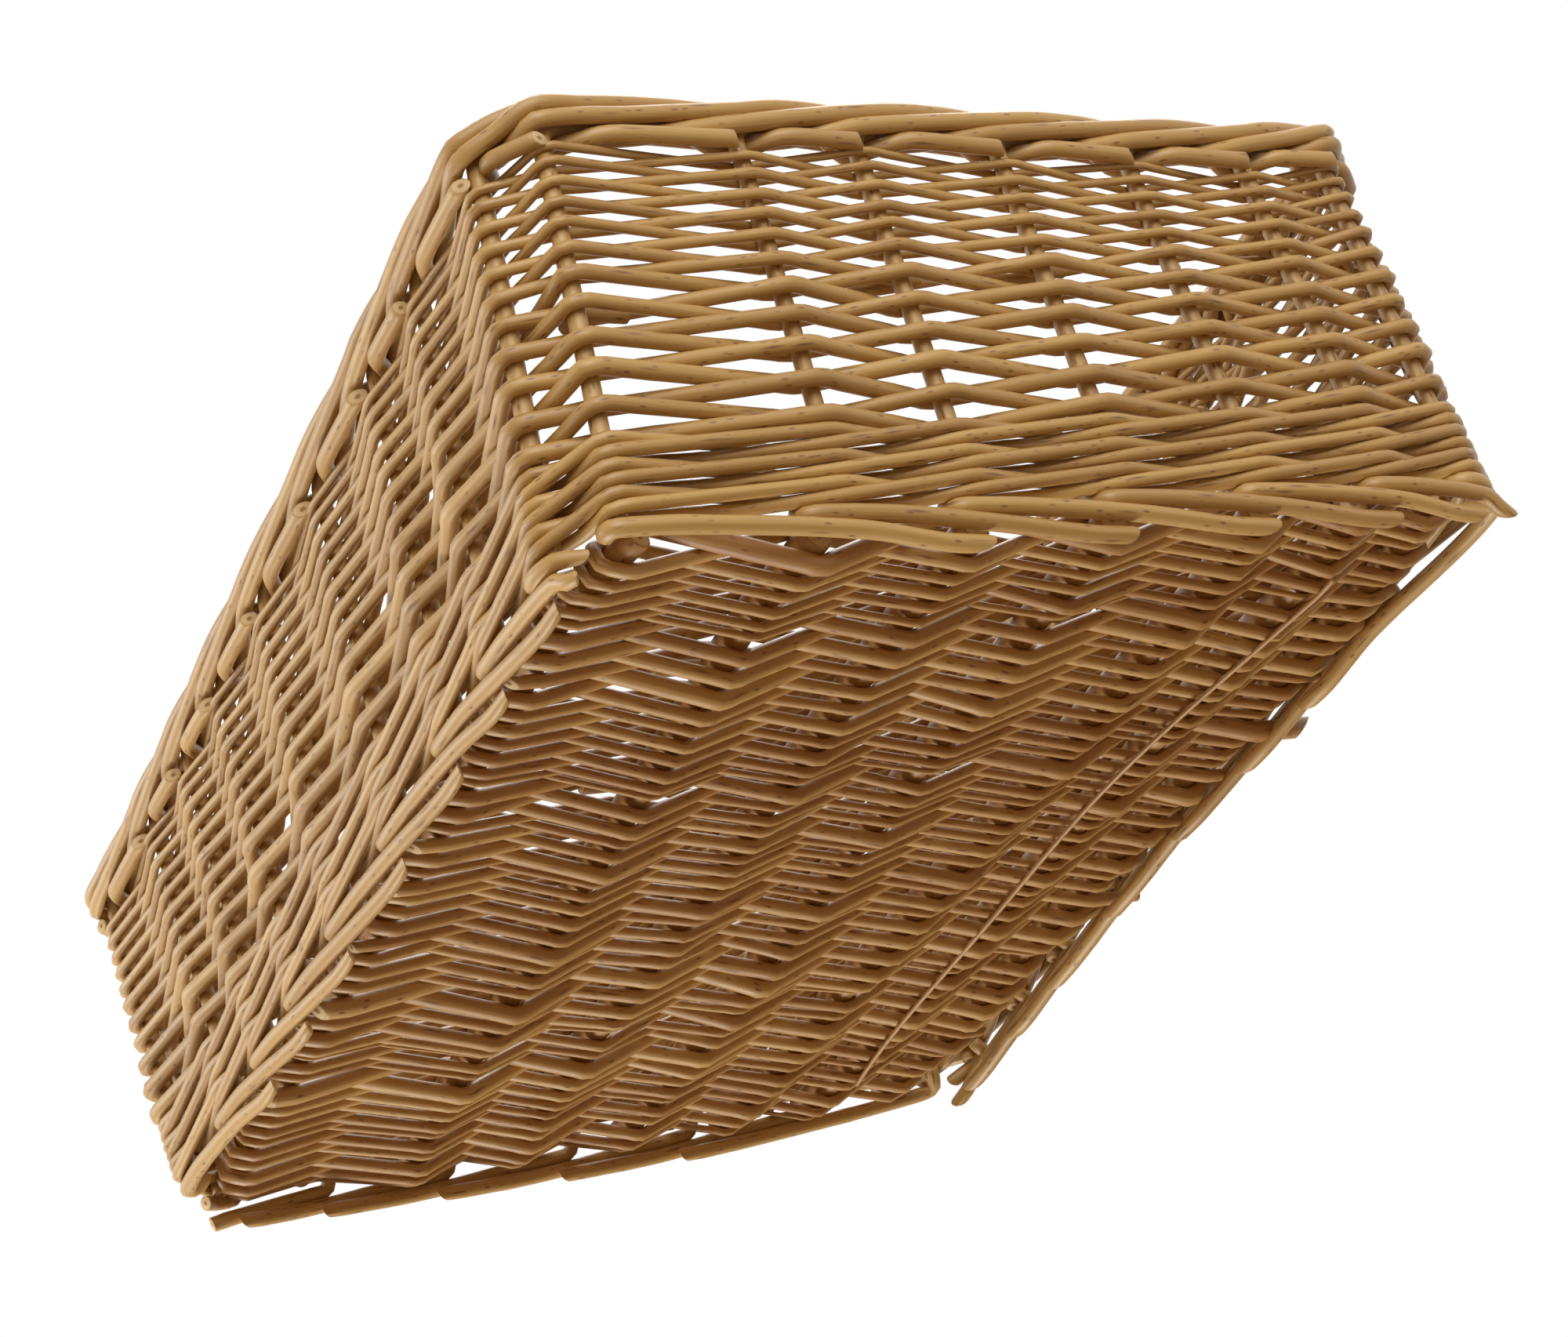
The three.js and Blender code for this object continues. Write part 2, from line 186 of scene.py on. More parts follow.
# How much like rods differ in thickness, how they taper, how steep the cuts at their ends are, and the tone
# and the points of the sticks
STAKE_SPREAD = (0.97, 1.06)
STAKE_TAPER = 0.94
STUB_SLANT = (0.2, 1.2)
FOOT_SPREAD = (0.96, 1.03)
FOOT_SLANT = (0.8, 1.7)
WALE_SPREAD = (0.92, 1.08)
SIDE_SPREAD = (0.9, 1.1)
SIDE_TAPER = (1.08, 0.92)
STICK_SPREAD = (0.96, 1.02)
STICK_TONE = 0.3
STICK_STATIONS = 12
BASE_SLANT = (0.4, 1.4)

# Weave
WALE_RODS = 3
WALE_ROUNDS = 3
SIDE_ROUNDS = 11
WEAVER_SETS = 2
WEAVERS_IN_A_SET = 5
RODS_IN_A_WEAVER = 2
FIRST_WEAVER_STAKE = 19
STEP_RUN = 3
SIDE_BUTT = 4.55
SIDE_TIP = 2.5
SIDE_WANDER = 0.35
EASE = 0.15
WALE_BEND = 9
SIDE_BEND = 7
TAIL = 0.25
TAIL_TUCK = 0.25

# Base sticks from left to right: place across, how far it fans out towards the front, how far the rows lie
# towards the front where they pass it, how much higher it lies, and its share of the usual thickness
BASE_STICKS = (
    (-138, 0, 9, 2.5, 0.8),
    (-81, -3.5, 0, 0, 1),
    (-36, 3, 0, 0, 1),
    (9.5, 4.5, 0, 0, 1),
    (57, 11, 1, 0, 1),
    (93, 11, 4, 0.5, 1),
    (125.5, 9, 7, 2, 0.8),
)
BASE_AXIS = 12
BASE_FRONT = -166.5
BASE_BACK = 172.5
BASE_DRAW_IN = 0.06
BASE_DRAW_RUN = 30
BASE_ROWS = 93
BASE_WEAVERS = 6
BASE_ROD_PASSES = (7, 17)
BASE_GRADES = (0.45, 1.6)
BASE_TAPER = (1.22, 0.78)
BASE_BEND = 5
BASE_TAIL = 12
BUTTS_ON_THE_LEFT = (-112, -35, -13, 17, 50, 96)
STUBS_ON_THE_RIGHT = (-83, -24, 8, 118)
LONG_STUBS_ON_THE_RIGHT = (-55, 46)
BUTT_LENGTH = 9
LONG_STUB = 19
UNEVEN_TURNS = (1, 1.7)
EDGE_TAIL = 3
SKEIN_STICK = 5
SKEIN_WAVE = (1.6, 27)
SKEIN_ASIDE = -1
SKEIN_BOW = (-9, 2.2)
SKEIN_TONE = 0.4
SKEIN_STATIONS = 40

# Seeds of the random draws
STAKE_SEED = 11
FOOT_SEED = 23
WALE_SEED = 37
SIDE_SEED = 53
STICK_SEED = 71
BASE_SEED = 89
SKEIN_SEED = 97

# Stage, in metres: the camera, the floor and the distances over which it fades, the grit of its paper in
# millimetres, and the lamps, each with its place, power and size
CAMERA_PLACE = (-0.53974, -0.75619, -0.40801)
CAMERA_TURN = (119.534, 20.573, -25.134)
CAMERA_LENS = 78.616
CAMERA_SENSOR = 36
FLOOR_SIZE = 12
FLOOR_FADE = (0.35, 1.3)
PAPER_GRIT = 2
LAMPS = (
    ((-1.75, 1.25, 0.5), 22.5, 1.2),
    ((-0.7, -2.2, 0.9), 42, 1.8),
    ((-0.6, 1.4, -1.9), 49, 1.2),
    ((0.7, 0.4, 2.3), 26, 1.4),
)
LAMP_COLOUR = (0.98, 1, 0.97)
SKY_COLOUR = (1, 0.72, 0.43, 1)
SKY_STRENGTH = 0.24


def linear(code):
    """Linear red, green and blue of a six digit hex colour"""
    channels = [int(code[at : at + 2], 16) / 255 for at in (1, 3, 5)]
    return [c / 12.92 if c <= 0.04045 else ((c + 0.055) / 1.055) ** 2.4 for c in channels]


def length(name, description, millimetres):
    """A length that a user can change"""
    return bpy.props.FloatProperty(
        name=name,
        description=description,
        default=millimetres * MM,
        min=0.0005,
        unit="LENGTH",
        subtype="DISTANCE",
    )


def colour(name, description, code):
    """A colour that a user can change"""
    return bpy.props.FloatVectorProperty(
        name=name, description=description, default=linear(code), min=0, max=1, size=3, subtype="COLOR"
    )


class BasketSizes(bpy.types.PropertyGroup):
    """Sizes of the basket and of its rods"""

    rim_width: length("Rim width", "Width over the rim's outermost rods", 300)
    rim_length: length("Rim length", "Length over the rim's outermost rods", 400)
    foot_width: length("Foot width", "Width over the foot's outermost rods at the front", 313)
    foot_length: length("Foot length", "Length over the foot's outermost rods", 356)
    stake_rod: length("Stakes", "Thickness of the stakes and of the rim border", 4.95)
    foot_rod: length("Foot rods", "Thickness of the kneed rods that the basket stands on", 4.9)
    wale_rod: length("Wale", "Thickness of the three wale rods", 3.55)
    base_rod: length("Base weavers", "Mean thickness of the rods that weave the base", 3.55)
    base_stick: length("Base sticks", "Thickness of the sticks that the base is woven on", 9.4)
    skein: length("Skein", "Thickness of the thin skein under the base", 1.6)


class BasketColours(bpy.types.PropertyGroup):
    """Colours of the willow and of the stage"""

    pale_willow: colour("Pale willow", "The palest rods", "#CBA25C")
    deep_willow: colour("Deep willow", "The deepest rods", "#A87B3A")
    pale_base: colour("Pale base willow", "The palest rods of the base", "#CAA05C")
    deep_base: colour("Deep base willow", "The deepest rods of the base", "#9F682D")
    scar: colour("Leaf scars", "Dark marks where leaves grew", "#6E3C10")
    cut_wood: colour("Cut wood", "Wood where a rod was cut", "#DFC294")
    pith: colour("Pith", "The brown core of a cut rod", "#A2774A")
    floor: colour("Floor", "Pale floor that the basket stands on", "#ECEBE8")


def lerp(low, high, share):
    """What lies between two values, at a share of the way"""
    return low + (high - low) * share


def clamp(value):
    """A share, kept between 0 and 1"""
    return min(max(value, 0), 1)


def shares_of(gaps):
    """Shares of a run at which its gaps end, from 0 to 1"""
    runs = np.concatenate([[0], np.cumsum(gaps)])
    return list(runs / runs[-1])


class Layout:
    """Where the stakes stand and how the walls lean"""

    def __init__(self, sizes):
        self.stake = sizes.stake_rod / MM
        rim_reach = RIM_REACH * self.stake + self.stake / 2 + RIM_CLEAR
        foot_reach = FOOT_REACH + sizes.foot_rod / MM / 2 + FOOT_CLEAR
        self.rim_half = [side / MM / 2 - rim_reach for side in (sizes.rim_width, sizes.rim_length)]
        self.foot_half = [side / MM / 2 - foot_reach for side in (sizes.foot_width, sizes.foot_length)]
        self.stakes = []
        for wall, along, gaps in WALLS:
            shares = shares_of(gaps)
            for place, share in enumerate(shares):
                turn = -1 if place == 0 else 1 if place == len(shares) - 1 else 0
                self.stakes.append((f"{wall}_{place + 1}", along, share, turn))
        self.count = len(self.stakes)

    def stake_at(self, index):
        """Name, direction of the wall, share of its run, and turn: -1 and 1 at its corners, 0 between"""
        return self.stakes[index % self.count]

    def half_sizes(self, z):
        """Half the width and half the length between the stakes' axes at a height"""
        share = clamp((z - WALL_FOOT) / (BORDER_LOW - WALL_FOOT))
        return [lerp(foot, rim, share) for foot, rim in zip(self.foot_half, self.rim_half)]

    def stake_point(self, index, offset, z):
        """A point at a stake, on a line that at any offset is parallel to the wall and to the cut corner"""
        _, (along_x, along_y), share, turn = self.stake_at(index)
        half_x, half_y = self.half_sizes(z)
        half_run = abs(along_x) * half_x + abs(along_y) * half_y - CORNER_INSET
        across = abs(along_x) * half_y + abs(along_y) * half_x + offset
        run = lerp(-half_run, half_run, share) + offset * math.tan(CUT_TURN / 2) * turn
        lowness = 1 - clamp(z / BORDER_LOW)
        if turn == 0:
            run += STAKE_SLANT * lowness
        drawn_in = 0
        if along_y > 0:
            drawn_in = float(np.interp(share, *RIGHT_DRAW))
        elif along_x < 0:
            drawn_in = RIGHT_DRAW[1][-1] * (1 - share)
            across += BACK_BOW * 4 * share * (1 - share) * lowness**DRAW_FADE
        x = along_x * run + along_y * across - drawn_in * lowness**DRAW_FADE
        return Vector((x, along_y * run - along_x * across, z))

    def wall_point(self, place, offset, z):
        """A point at any place round the walls"""
        before = math.floor(place)
        near = self.stake_point(before, offset, z)
        return near.lerp(self.stake_point(before + 1, offset, z), place - before)

    def passing(self, index, offset, z):
        """Points of a rod that passes a stake: outside a corner stake it bends twice"""
        _, (along_x, along_y), _, turn = self.stake_at(index)
        if turn == 0:
            return [self.stake_point(index, offset, z)]
        axis = self.stake_point(index, 0, z)
        turns = [CUT_TURN / 2] if offset < 0 else [0, CUT_TURN]
        if turn < 0:
            turns.reverse()
        points = []
        for turned in turns:
            angle = math.atan2(-along_x, along_y) + turn * turned
            points.append(axis + Vector((offset * math.cos(angle), offset * math.sin(angle), 0)))
        return points

    def sag(self, place):
        """How much lower the rim is at a place"""
        away = abs((place - SAG_PLACE + self.count / 2) % self.count - self.count / 2)
        return SAG_DROP * (0.5 + 0.5 * math.cos(math.pi * min(away / SAG_RUN, 1)))


def with_thickness(points, butt, tip):
    """Key points of a rod that tapers evenly: rows of x, y, z and thickness"""
    return np.column_stack([np.array(points), np.linspace(butt, tip, len(points))])


def eased(keys, run):
    """Key points of a rod that runs straight between its bends and turns within a short run at each"""
    rows = [keys[0]]
    for before, bend, after in zip(keys, keys[1:], keys[2:]):
        for end in (before, after):
            share = min(run / np.linalg.norm((end - bend)[:3]), 0.4)
            rows.append(lerp(bend, end, share))
        rows.insert(-1, bend)
    return np.array([*rows, keys[-1]])


# Rods: knuckles, where leaves grew, cut ends, steps along the rods and sides round them
KNUCKLE_SPACING = 46
KNUCKLE_GAPS = (0.6, 1.4)
KNUCKLE_LENGTH = 3.5
KNUCKLE_SWELL = 0.05
KNUCKLE_SPREAD = (0.3, 1)
END_ROUNDING = 0.35
END_NARROWING = 0.86
END_RADIUS = 0.6
CUT_CLEAR = 0.5
FINE_STEPS = 4
STAKE_STEP = 2.6
FOOT_STEP = 2
WEAVER_STEP = 3
STICK_STEP = 5
SKEIN_STEP = 4
STAKE_SIDES = 12
WEAVER_SIDES = 10
SKEIN_SIDES = 8

# Rods start anywhere in this many metres of the willow's pattern
PATTERN_RUN = 40

# Points closer than this are joined, and edges that turn less than this are smooth
WELD = 0.01
SMOOTH_TURN = math.radians(62)


class Rod:
    """One willow rod: even steps along a smooth path through its key points, with its thickness at each"""

    def __init__(self, keys, tone, spacing, draw, slant=None):
        self.slant = slant
        chords = np.linalg.norm(np.diff(keys[:, :3], axis=0), axis=1)
        knots = np.concatenate([[0], np.cumsum(chords)])
        slopes = np.empty_like(keys)
        slopes[1:-1] = (keys[2:] - keys[:-2]) / (knots[2:] - knots[:-2])[:, None]
        slopes[0] = (keys[1] - keys[0]) / chords[0]
        slopes[-1] = (keys[-1] - keys[-2]) / chords[-1]
        fine = np.linspace(0, knots[-1], max(8, int(knots[-1] / spacing * FINE_STEPS)))
        span = np.clip(np.searchsorted(knots, fine, side="right") - 1, 0, len(chords) - 1)
        step = chords[span][:, None]
        share = ((fine - knots[span]) / chords[span])[:, None]
        curve = keys[span] * (2 * share**3 - 3 * share**2 + 1)
        curve += slopes[span] * step * (share**3 - 2 * share**2 + share)
        curve += keys[span + 1] * (3 * share**2 - 2 * share**3)
        curve += slopes[span + 1] * step * (share**3 - share**2)
        run = np.concatenate([[0], np.cumsum(np.linalg.norm(np.diff(curve[:, :3], axis=0), axis=1))])
        self.length = run[-1]
        even = np.linspace(0, self.length, max(3, round(self.length / spacing)))
        if slant is not None:
            cut_back = keys[-1, 3] / 2 * np.linalg.norm(slant) + CUT_CLEAR
            even = np.append(even[even < self.length - cut_back], self.length)
        self.path = np.column_stack([np.interp(even, run, curve[:, column]) for column in range(4)])
        self.tone = tone
        self.start = draw.uniform(0, PATTERN_RUN)
        knuckle = draw.uniform(0, KNUCKLE_SPACING)
        while knuckle < self.length:
            swell = KNUCKLE_SWELL * draw.uniform(*KNUCKLE_SPREAD)
            self.path[:, 3] *= 1 + swell * np.exp(-(((even - knuckle) / KNUCKLE_LENGTH) ** 2))
            knuckle += KNUCKLE_SPACING * draw.uniform(*KNUCKLE_GAPS)
        self.round_ends()

    def round_ends(self):
        """Takes the sharp edge off both cut ends"""
        first, second, *_ = self.path
        *_, before, last = self.path
        start = first + (first - second) / np.linalg.norm((first - second)[:3]) * END_ROUNDING
        end = last + (last - before) / np.linalg.norm((last - before)[:3]) * END_ROUNDING
        start[3] = first[3] * END_NARROWING
        end[3] = last[3] * END_NARROWING
        self.path = np.vstack([start, self.path, end])


def slant_ends(mesh, rods):
    """Turns the cut at the end of each rod that has a slant, so that it faces that way"""
    places = np.zeros(len(mesh.vertices) * 3, np.float32)
    mesh.vertices.foreach_get("co", places)
    places = places.reshape(-1, 3)
    for rod in rods:
        if rod.slant is None:
            continue
        end = rod.path[-1, :3] * MM
        onward = rod.path[-2, :3] - rod.path[-3, :3]
        onward /= np.linalg.norm(onward)
        away = places - end
        near = np.linalg.norm(away, axis=1) < rod.path[-2, 3] * MM * END_RADIUS
        places[near] -= np.outer(away[near] @ np.array(rod.slant), onward)
    mesh.vertices.foreach_set("co", places.ravel())


def round_rods(name, rods, sides, willow):
    """One mesh object of round rods, made as curves. Each rod's faces have a material slot of their own"""
    bpy.ops.object.select_all(action="DESELECT")
    bpy.ops.curve.primitive_nurbs_path_add()
    piece = bpy.context.object
    piece.name = f"{name}_willow"
    curve = piece.data
    curve.splines.clear()
    for _ in rods:
        curve.materials.append(willow)
    for number, rod in enumerate(rods):
        spline = curve.splines.new("POLY")
        spline.points.add(len(rod.path) - 1)
        spline.material_index = number
        places = np.ones((len(rod.path), 4))
        places[:, :3] = rod.path[:, :3] * MM
        spline.points.foreach_set("co", places.ravel())
        spline.points.foreach_set("radius", rod.path[:, 3] / 2 * MM)
    curve.dimensions = "3D"
    curve.twist_mode = "MINIMUM"
    curve.bevel_depth = 1
    curve.bevel_resolution = sides // 2 - 2
    curve.use_fill_caps = True
    bpy.ops.object.convert(target="MESH")
    slant_ends(piece.data, rods)
    return piece


def finish_rods(mesh, rods, sides, finish):
    """Gives each rod its tone, cut ends their own finish, and the mesh a map of the rods"""

    # The slots of the rods tell their faces apart. Only the cut ends are made of triangles
    rod_of_face = np.zeros(len(mesh.polygons), np.int32)
    mesh.polygons.foreach_get("material_index", rod_of_face)
    corners = np.zeros(len(mesh.polygons), np.int32)
    mesh.polygons.foreach_get("loop_total", corners)
    cut_face = corners == 3
    mesh.materials.clear()
    for material in finish:
        mesh.materials.append(material)
    mesh.polygons.foreach_set("material_index", cut_face.astype(np.int32))
    tone = mesh.attributes.new("tone", "FLOAT", "FACE")
    tone.data.foreach_set("value", np.array([rod.tone for rod in rods], np.float32)[rod_of_face])

    # The map runs along each rod in metres and once round it, and lies flat across a cut end
    layer = mesh.uv_layers[0]
    layer.name = "Rod"
    places = np.zeros(len(mesh.loops) * 2, np.float32)
    layer.data.foreach_get("uv", places)
    places = places.reshape(-1, 2)
    rod_of_corner = np.repeat(rod_of_face, corners)
    cut_corner = np.repeat(cut_face, corners)
    angle = places[:, 0] * math.tau * (sides - 1) / sides
    lengths = np.array([rod.length for rod in rods]) * MM
    starts = np.array([rod.start for rod in rods])
    along = places[:, 0] * lengths[rod_of_corner] + starts[rod_of_corner]
    across = np.where(cut_corner, np.sin(angle), places[:, 1])
    along = np.where(cut_corner, np.cos(angle), along)
    layer.data.foreach_set("uv", np.column_stack([along, across]).astype(np.float32).ravel())


def lay_rods(name, rods, sides, finish, node):
    """Lays rods as one piece that stands for a node of the frame"""
    piece = round_rods(name, rods, sides, finish[0])
    finish_rods(piece.data, rods, sides, finish)
    bpy.ops.object.mode_set(mode="EDIT")
    bpy.ops.mesh.select_all(action="SELECT")
    bpy.ops.mesh.remove_doubles(threshold=WELD * MM)
    bpy.ops.object.mode_set(mode="OBJECT")
    bpy.ops.object.shade_smooth_by_angle(angle=SMOOTH_TURN)
    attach(piece, "root")
    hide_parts(node)


def add_node(tree, kind, feeds, **settings):
    """Adds a node with its settings. Each feed is a value or the output that is linked to that input"""
    node = tree.nodes.new(kind)
    for name, value in settings.items():
        setattr(node, name, value)
    for name, value in feeds.items():
        if isinstance(value, bpy.types.NodeSocket):
            tree.links.new(value, node.inputs[name])
        else:
            node.inputs[name].default_value = value
    return node


def new_tree(name):
    """A new material and its empty node tree"""
    material = bpy.data.materials.new(name)
    material.use_nodes = True
    material.node_tree.nodes.clear()
    return material, material.node_tree


# Sizes of the marks on a rod, along it and across it, in millimetres
MARK_SIZES = {"streak": (26, 0.9), "blotch": (60, 5), "scar": (17, 2), "speck": (5, 1.4)}
MEAN_RADIUS = 2.1

# Dark marks: inner and outer edge as shares of their cell, and the share of cells that stay clear
DARK_MARKS = (("scar", (0.06, 0.27), 0.47), ("speck", (0.08, 0.3), 0.58))
DARK_MARK_DEPTH = 0.88

# The tone of a rod, its blotches and its streaks add up to a shade between these, from deep to pale
BLOTCH_WEIGHT = 0.55
SHADE_RANGE = (0.32, 2.12)

# The pith of a cut rod: its edge from the core outwards as shares of the radius, and how uneven it is
PITH_EDGE = (0.38, 0.62)
PITH_UNEVEN = 0.35


def peeled_willow(name, pale, deep, scar):
    """Peeled willow, stripped of its bark and dried. The eye sees a buff gold with a soft sheen, fine
    streaks along each rod, rods that differ in tone, and small dark scars where leaves grew"""
    material, tree = new_tree(name)
    rod_map = add_node(tree, "ShaderNodeUVMap", {}, uv_map="Rod")
    split = add_node(tree, "ShaderNodeSeparateXYZ", {0: rod_map.outputs["UV"]})
    angle = add_node(tree, "ShaderNodeMath", {0: split.outputs["Y"], 1: math.tau}, operation="MULTIPLY")
    across = []
    for operation in ("COSINE", "SINE"):
        turned = add_node(tree, "ShaderNodeMath", {0: angle.outputs[0]}, operation=operation)
        scaled = add_node(
            tree, "ShaderNodeMath", {0: turned.outputs[0], 1: MEAN_RADIUS * MM}, operation="MULTIPLY"
        )
        across.append(scaled.outputs[0])
    place = add_node(tree, "ShaderNodeCombineXYZ", {0: split.outputs["X"], 1: across[0], 2: across[1]})
    fields = {}
    for mark, (long, wide) in MARK_SIZES.items():
        scale = (1 / (long * MM), 1 / (wide * MM), 1 / (wide * MM))
        stretched = add_node(tree, "ShaderNodeMapping", {"Vector": place.outputs[0], "Scale": scale})
        fields[mark] = stretched.outputs[0]
    streak = add_node(tree, "ShaderNodeTexNoise", {"Vector": fields["streak"], "Scale": 1, "Detail": 3})
    blotch = add_node(tree, "ShaderNodeTexNoise", {"Vector": fields["blotch"], "Scale": 1, "Detail": 2})
    tone = add_node(tree, "ShaderNodeAttribute", {}, attribute_name="tone")
    shade = add_node(
        tree,
        "ShaderNodeMath",
        {0: blotch.outputs[0], 1: BLOTCH_WEIGHT, 2: tone.outputs["Fac"]},
        operation="MULTIPLY_ADD",
    )
    shade = add_node(tree, "ShaderNodeMath", {0: streak.outputs[0], 1: shade.outputs[0]}, operation="ADD")
    deepest, palest = SHADE_RANGE
    shade = add_node(
        tree, "ShaderNodeMapRange", {"Value": shade.outputs[0], "From Min": deepest, "From Max": palest}
    )
    wood = add_node(
        tree,
        "ShaderNodeMix",
        {"Factor": shade.outputs[0], "A": (*deep, 1), "B": (*pale, 1)},
        data_type="RGBA",
    )
    marks = []
    for mark, (inner, outer), clear in DARK_MARKS:
        cells = add_node(tree, "ShaderNodeTexVoronoi", {"Vector": fields[mark], "Scale": 1})
        spot = add_node(
            tree,
            "ShaderNodeMapRange",
            {
                "Value": cells.outputs["Distance"],
                "From Min": inner,
                "From Max": outer,
                "To Min": 1,
                "To Max": 0,
            },
        )
        chosen = add_node(
            tree, "ShaderNodeMath", {0: cells.outputs["Color"], 1: clear}, operation="GREATER_THAN"
        )
        mask = add_node(
            tree, "ShaderNodeMath", {0: spot.outputs[0], 1: chosen.outputs[0]}, operation="MULTIPLY"
        )
        marks.append(mask.outputs[0])
    marked = add_node(tree, "ShaderNodeMath", {0: marks[0], 1: marks[1]}, operation="MAXIMUM")
    faded = add_node(
        tree, "ShaderNodeMath", {0: marked.outputs[0], 1: DARK_MARK_DEPTH}, operation="MULTIPLY"
    )
    surface = add_node(
        tree,
        "ShaderNodeMix",
        {"Factor": faded.outputs[0], "A": wood.outputs["Result"], "B": (*scar, 1)},
        data_type="RGBA",
    )
    bump = add_node(
        tree, "ShaderNodeBump", {"Height": streak.outputs[0], "Strength": 0.35, "Distance": 0.4 * MM}
    )
    rough = add_node(
        tree, "ShaderNodeMapRange", {"Value": blotch.outputs[0], "To Min": 0.42, "To Max": 0.62}
    )
    shader = add_node(
        tree,
        "ShaderNodeBsdfPrincipled",
        {
            "Base Color": surface.outputs["Result"],
            "Roughness": rough.outputs[0],
            "Normal": bump.outputs[0],
            "IOR": 1.5,
            "Coat Weight": 0.85,
            "Coat Roughness": 0.48,
        },
    )
    add_node(tree, "ShaderNodeOutputMaterial", {"Surface": shader.outputs[0]})
    return material


def cut_willow(name, wood, pith):
    """Willow cut across with shears. The eye sees pale end grain round a soft brown pith, and no sheen"""
    material, tree = new_tree(name)
    rod_map = add_node(tree, "ShaderNodeUVMap", {}, uv_map="Rod")
    radius = add_node(tree, "ShaderNodeVectorMath", {0: rod_map.outputs["UV"]}, operation="LENGTH")
    grit = add_node(tree, "ShaderNodeTexNoise", {"Vector": rod_map.outputs["UV"], "Scale": 5, "Detail": 4})
    uneven = add_node(
        tree,
        "ShaderNodeMath",
        {0: grit.outputs[0], 1: PITH_UNEVEN, 2: radius.outputs["Value"]},
        operation="MULTIPLY_ADD",
    )
    inner, outer = PITH_EDGE
    core = add_node(
        tree,
        "ShaderNodeMapRange",
        {"Value": uneven.outputs[0], "From Min": inner, "From Max": outer, "To Min": 1, "To Max": 0},
    )
    grain = add_node(
        tree,
        "ShaderNodeMix",
        {"Factor": core.outputs[0], "A": (*wood, 1), "B": (*pith, 1)},
        data_type="RGBA",
    )
    bump = add_node(
        tree, "ShaderNodeBump", {"Height": grit.outputs[0], "Strength": 0.4, "Distance": 0.3 * MM}
    )
    shader = add_node(
        tree,
        "ShaderNodeBsdfPrincipled",
        {"Base Color": grain.outputs["Result"], "Roughness": 0.85, "Normal": bump.outputs[0]},
    )
    add_node(tree, "ShaderNodeOutputMaterial", {"Surface": shader.outputs[0]})
    return material


def finish_of(colours, part):
    """The willow of a part of the basket and of its cut ends, each made once"""
    names = (f"Peeled willow, {part}", "Cut willow")
    willow, cut = (bpy.data.materials.get(name) for name in names)
    pale, deep = colours.pale_willow, colours.deep_willow
    if part == "base":
        pale, deep = colours.pale_base, colours.deep_base
    willow = willow or peeled_willow(names[0], pale, deep, colours.scar)
    cut = cut or cut_willow(names[1], colours.cut_wood, colours.pith)
    return willow, cut


def seen_rays(tree):
    """1 for what the camera sees, also in gloss and through glass, and 0 for the rays of light"""
    rays = add_node(tree, "ShaderNodeLightPath", {})
    seen = rays.outputs["Is Camera Ray"]
    for kind in ("Is Glossy Ray", "Is Transmission Ray"):
        either = add_node(tree, "ShaderNodeMath", {0: seen, 1: rays.outputs[kind]}, operation="MAXIMUM")
        seen = either.outputs[0]
    return seen


